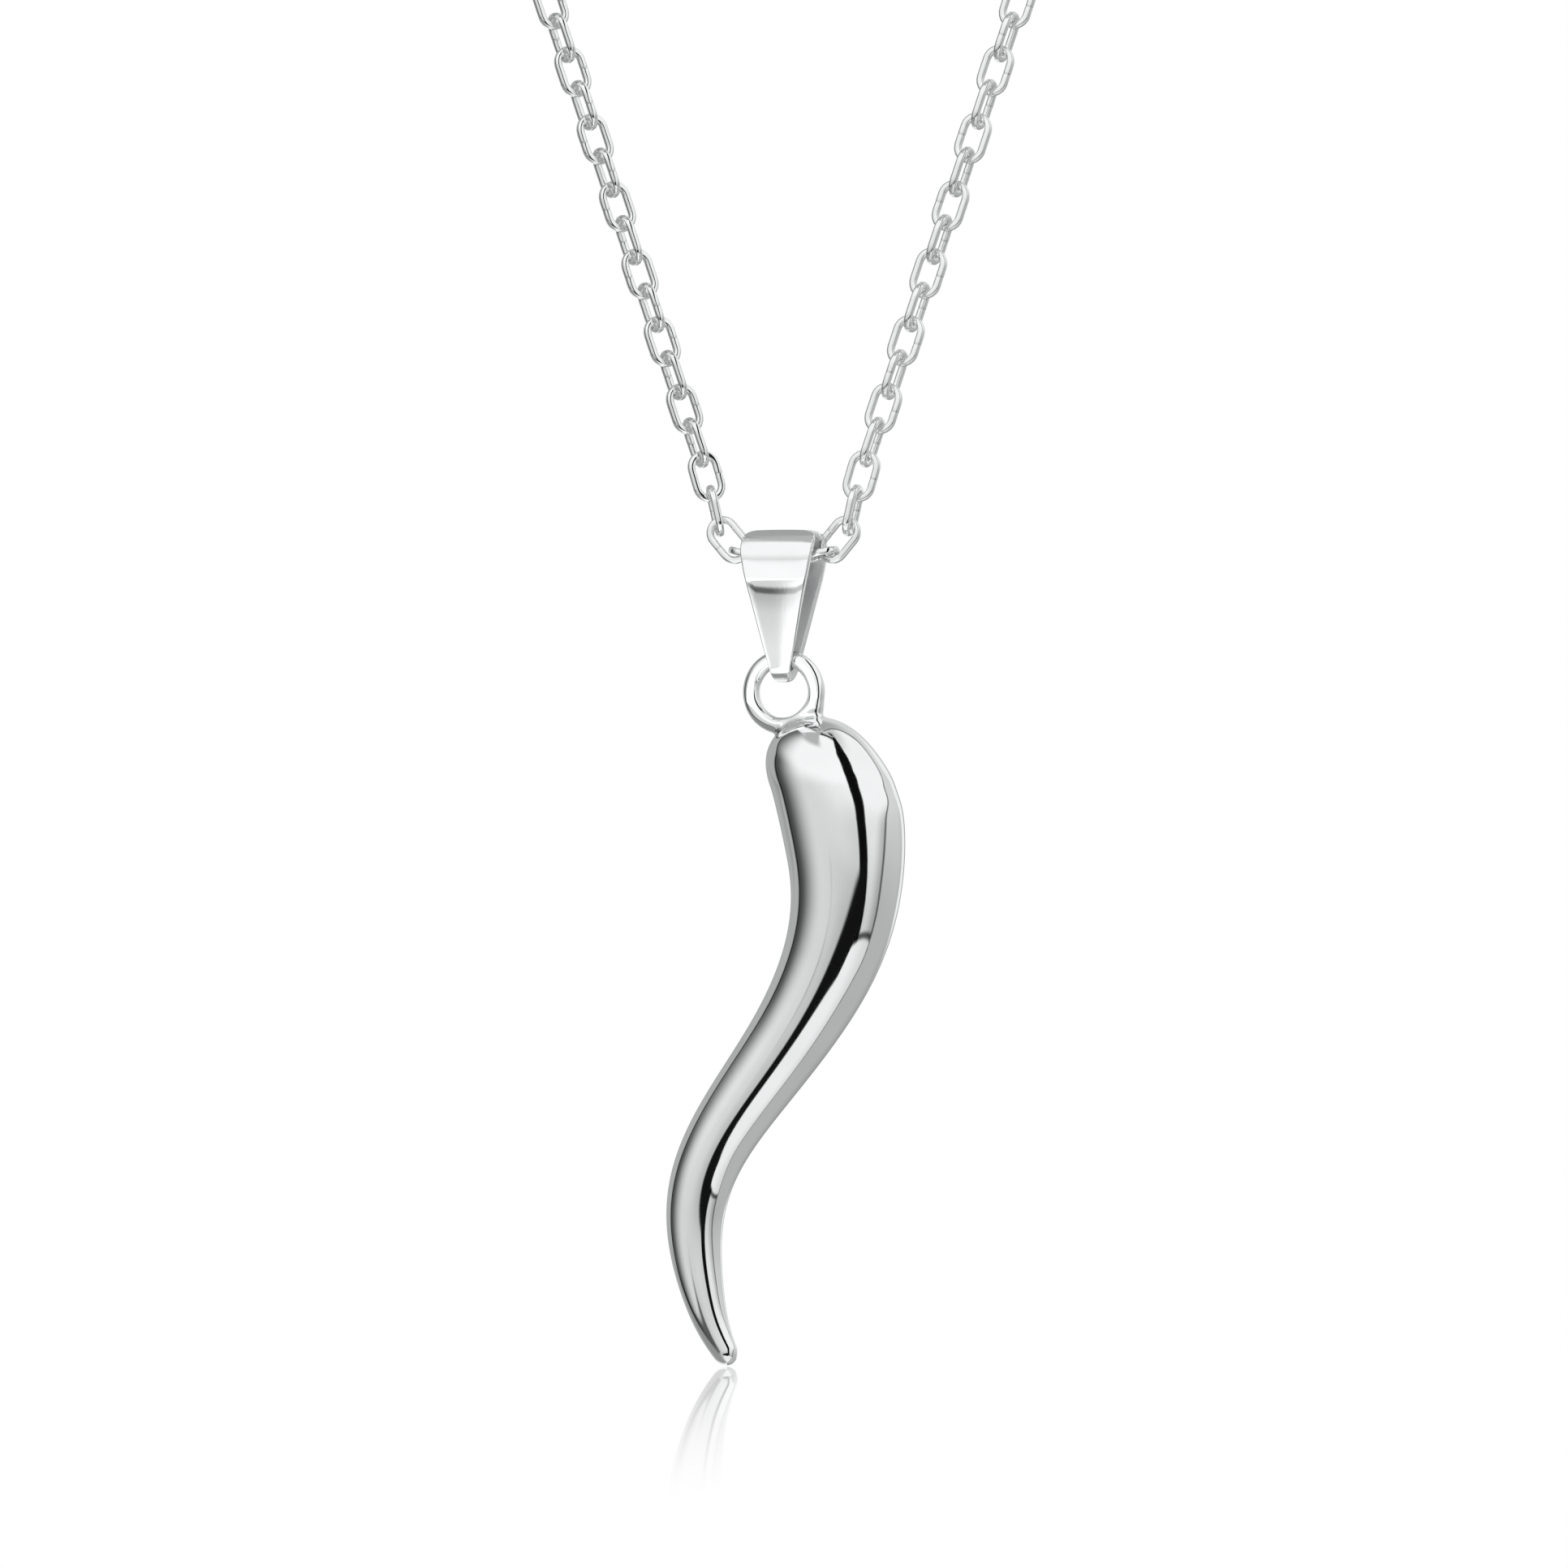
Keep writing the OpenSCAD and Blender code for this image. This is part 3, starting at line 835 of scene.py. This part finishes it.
# small patterned lamp that the bail and the loop mirror, made for the photograph's view alone
# it slopes up to the left of the camera, a few millimetres in front of the bail
lampLook = {
    "start": 2.2,         # mm ahead of the bail, at its foot
    "end": 14.0,
    "reach": 5.0,         # to each side
    "rise": 0.76,         # mm up for each mm ahead
    "footDrop": 9.67,     # from the chain's centre line down to where its slope starts
    "heading": -36.0,     # degrees from the camera
    "legLow": 0.56,       # light on the lower end of the bail's leg
    "legHigh": 0.46,
    "legRise": (4.6, 6.8),      # mm ahead between which the first turns into the second
    "legGrey": 0.36,            # how much the light sinks towards the gap
    "greyRise": (6.6, 7.9),
    "gap": (7.94, 8.16),        # mm ahead between which it is dark: the line between leg and belly
    "gapEdges": (0.1, 0.14),    # how softly that line starts and ends
    "gapLean": 0.105,           # keeps that line level on the turned bail
    "gapMiddle": 0.8,           # mm to the left where the lean is none
    "pastGap": (8.0, 8.2),
    "belly": 0.22,              # light on the belly, on top of the studio's
    "bellyRise": (9.6, 10.6),
    "bellyFall": (12.4, 13.3),
    "sideEnd": 3.3,             # mm to the left where it goes dark
    "sideEdge": 0.15,
    "sideDark": 0.96,
}


def lampPlace(look):
    heading = math.radians(look["heading"])
    ahead = Vector((math.sin(heading), -math.cos(heading), look["rise"]))
    across = Vector((-math.cos(heading), -math.sin(heading), 0.0))
    foot = Vector((0, -hangSizes["napeBack"], -hangSizes["napeUp"] - look["footDrop"]))
    middle = (foot + ahead * (look["start"] + look["end"]) / 2) * mm
    up = ahead.normalized()
    turned = Matrix((-across, up, up.cross(across))).transposed().to_4x4()  # its lit side is -Z
    return Matrix.Translation(middle) @ turned, ahead, across


place, ahead, across = lampPlace(lampLook)
lamp = bpy.data.lights.new("bail_lamp", "AREA")
lamp.shape = "RECTANGLE"
lamp.size = 2 * lampLook["reach"] * mm
lamp.size_y = (lampLook["end"] - lampLook["start"]) * ahead.length * mm
lamp.energy = 4 * lamp.size * lamp.size_y
lamp.use_nodes = True
lampStand = bpy.data.objects.new("bail_lamp", lamp)
lampStand.matrix_world = place
scene.collection.objects.link(lampStand)
lampStand.visible_camera = False
board = Board(lamp.node_tree)
spot = board.add("ShaderNodeNewGeometry", output="Position")
spotX, spotY = (part * (1 / mm) for part in board.split(spot)[:2])
spotY = spotY + hangSizes["napeBack"]
forward = spotX * float(ahead[0]) + spotY * float(ahead[1])
sideways = spotX * float(across[0]) + spotY * float(across[1])
slanted = forward - lampLook["gapLean"] * (sideways - lampLook["gapMiddle"])
gapStart, gapEnd = lampLook["gap"]
startEdge, endEdge = lampLook["gapEdges"]
light = cover(lampLook["legLow"], lampLook["legHigh"], board.rise(forward, *lampLook["legRise"]))
light = light * (1 - lampLook["legGrey"] * board.rise(slanted, *lampLook["greyRise"]))
gap = board.rise(slanted, gapStart - startEdge, gapStart)
gap = gap * (1 - board.rise(slanted, gapEnd, gapEnd + endEdge))
light = cover(light, lampLook["legHigh"], board.rise(slanted, *lampLook["pastGap"])) * (1 - gap)
light = cover(light, lampLook["belly"], board.rise(forward, *lampLook["bellyRise"]))
light = light * (1 - board.rise(forward, *lampLook["bellyFall"]))
darkFrom, darkTo = lampLook["sideEnd"], lampLook["sideEnd"] + lampLook["sideEdge"]
light = light * (1 - lampLook["sideDark"] * board.rise(sideways, darkFrom, darkTo))
shine = board.add("ShaderNodeEmission", None, {"Color": (0.985, 1.0, 1.0, 1.0), "Strength": light})
board.add("ShaderNodeOutputLight", None, {"Surface": shine})
print("lamp ready")


# how bright each part of the studio is, 1 is white
# the places further down are degrees, set so that the silver mirrors them as in the photograph
brightness = {
    "wall": 0.37,
    "wallOverhead": 0.47,
    "boxLow": 0.70,       # main soft box, at its foot and high up
    "boxHigh": 0.98,
    "rightLow": 0.80,     # right soft box
    "rightHigh": 0.94,
    "panelLow": 0.46,     # side panel on the right
    "panelHigh": 0.68,
    "floorFront": 0.88,
    "floorLeft": 0.30,
    "floorBehind": 0.92,
}


def studioLight(board, side, height):
    # the light that comes from each way
    # side is in degrees from the camera to the right, height is above level
    def rise(value, start, end):
        return board.rise(value, start, end)

    above = board.add("ShaderNodeMath", {"operation": "MAXIMUM"}, [height - 5, 0.0])
    shift = 0.30 * above + 7 * rise(height, 40, 60) + 14 * rise(height, 58, 70) + 45 * rise(height, 66, 80)
    # grey walls
    leftWall = (1 - rise(side, -124, -114)) * (1 - rise(height, 40, 60)) * rise(side, -176, -150)
    light = brightness["wall"] + 0.07 * leftWall
    # main soft box, left of the camera; high up it leans to the right
    edgeRight = 23.5 + shift - 3 * rise(height, 8, 40)
    leftEdge = -113 - 18 * rise(height, 16, 36)
    boxMask = rise(side - leftEdge, -1, 1) * (1 - rise(side - edgeRight, -1.5, 1))
    glow = cover(brightness["boxLow"], brightness["boxHigh"], rise(height, -8, 26))
    fadeLow, fadeHigh = cover(0.09, 1.0, rise(side, -108, -52)), cover(0.14, 1.0, rise(side, -132, -58))
    glow = glow * cover(fadeLow, fadeHigh, rise(height, 12, 34))
    glow = cover(glow, glow * 0.90, rise(side, -10, 24) * (1 - rise(height, 4, 30)))
    light = cover(light, glow, boxMask)
    # thin dark gap at the box's left edge
    rim = rise(side - leftEdge, -5, -2) * (1 - rise(side - leftEdge, -0.5, 4))
    rim = rim * (1 - 0.4 * rise(height, 26, 44))
    light = light * (1 - 0.93 * rim)
    # right soft box
    edge = 72 + 23 * rise(height, -15, 24) - 12 * rise(-height, 30, 48)
    edge = edge + 45 * rise(height, 8, 40) + 8 * rise(height, 40, 66)
    past = side - edge
    lean = shift + 4 * rise(height, 8, 40)
    glow = cover(brightness["rightLow"], brightness["rightHigh"], rise(height, 0, 22))
    glow = glow * (1 - 0.35 * rise(height, 52, 72))
    glow = glow * (1 - 0.42 * rise(past, -26, -2) * (1 - rise(height, 2, 24)))
    glow = glow * (1 - 0.22 * rise(-height, -2, 22) * (1 - rise(-height, 26, 30)))
    light = cover(light, glow, rise(side - lean, 38, 41) * (1 - rise(past, -1, 1)))
    # side panel on the right
    raised = rise(height, -20, 18) * (1 - rise(height, 36, 62))
    panel = cover(brightness["panelLow"], brightness["panelHigh"], raised)
    panel = cover(panel, 0.30, rise(side, 120, 178) * (1 - rise(height, 0, 12)))
    bright = rise(side, 138, 144) * (1 - rise(side, 156, 164))
    bright = bright * rise(height, -14, -6) * (1 - rise(height, 20, 30))
    panel = cover(panel, 0.90, bright)
    panel = cover(panel, brightness["wall"], rise(side, 130, 178) * rise(height, 30, 56))
    light = cover(light, panel, rise(past, -0.5, 0.5))
    light = light * (1 - 0.75 * rise(past, -4, -1) * (1 - rise(past, 1, 4)))
    # black opening between the boxes and overhead
    broad = rise(height, 40, 60)
    gap = rise(side - edgeRight + 4 * broad, -2, 1) * (1 - rise(side - lean - 5 * broad, 38, 40.5))
    gap = gap * rise(height, -30, -26)
    top = rise(height, 69, 74) * rise(side, 66, 90) * (1 - rise(side, 112, 140))
    light = light * (1 - 0.99 * gap) * (1 - 0.97 * top)
    # grey wall overhead on the left
    light = cover(light, brightness["wallOverhead"], rise(height, 62, 72) * (1 - rise(side, -20, 10)))
    # the opening's foot leans to the left
    upper = height + 11 + (17 - side) * 0.32
    lower = height + 33 - 6 * rise(side, 17, 30)
    grey = (1 - rise(height, -18, -6)) * rise(side, -60, 0) * (1 - rise(side, 16, 24))
    light = cover(light, 0.40, grey * 0.7)
    foot = (1 - rise(upper, -3, 0.5)) * rise(lower, -0.7, 1.0)
    foot = foot * (1 - rise(side, 32, 37)) * rise(side, -30, -20)
    light = cover(light, 0.006, foot)
    # floor in front on the right, below a thin dark line
    near = (1 - rise(lower, -1, 0.6)) * rise(side, -30, -5) * (1 - rise(past, -1, 1))
    light = cover(light, cover(brightness["floorFront"], 0.70, rise(side, 30, 70)), near)
    line = rise(height, -27.5, -26) * (1 - rise(height, -25.5, -24))
    line = line * rise(side, 28, 31) * (1 - rise(past, -2, 0))
    light = light * (1 - 0.9 * line)
    # floor on the left, with a curved dark edge above it
    bow = (side + 75) / 43
    arc = height + 12.5 + 12 * (1 - bow * bow)
    below = (1 - rise(arc, -3, -1)) * (1 - rise(side, -50, -24)) * rise(side, -150, -118)
    light = cover(light, brightness["floorLeft"], below)
    band = rise(arc, -4, -2) * (1 - rise(arc, 0.5, 3)) * rise(side, -120, -112) * (1 - rise(side, -38, -30))
    light = light * (1 - 0.85 * band)
    # pale floor behind on the left
    return cover(light, brightness["floorBehind"], rise(-side, 150, 158) * rise(-height, 16, 22))


world = bpy.data.worlds.new("studio_light")
scene.world = world
world.use_nodes = True
board = Board(world.node_tree)
way = board.add("ShaderNodeTexCoord", output="Generated")
wayX, wayY, wayZ = board.split(way)
degrees = 180 / math.pi
side = board.add("ShaderNodeMath", {"operation": "ARCTAN2"}, [wayX, -wayY]) * degrees
height = board.add("ShaderNodeMath", {"operation": "ARCSINE"}, [wayZ]) * degrees
light = studioLight(board, side, height)
tint = board.add("ShaderNodeVectorMath", {"operation": "SCALE"}, {0: (0.985, 1.0, 1.0), "Scale": light})
soft = board.add("ShaderNodeBackground", None, {"Color": tint, "Strength": 1.0})
plain = board.add("ShaderNodeBackground", None, {"Color": (1, 1, 1, 1), "Strength": 1.0})
# the camera and the floor's mirror see plain white, only the silver sees the soft boxes
seen = board.add("ShaderNodeLightPath", output="Is Camera Ray")
sharp = board.add("ShaderNodeLightPath", output="Is Singular Ray")
bare = board.add("ShaderNodeMath", {"operation": "MAXIMUM"}, [seen, sharp])
surround = board.add("ShaderNodeMixShader", None, [bare, soft, plain])
board.add("ShaderNodeOutputWorld", None, {"Surface": surround})
scene.view_settings.view_transform = "Standard"
print("studio ready")
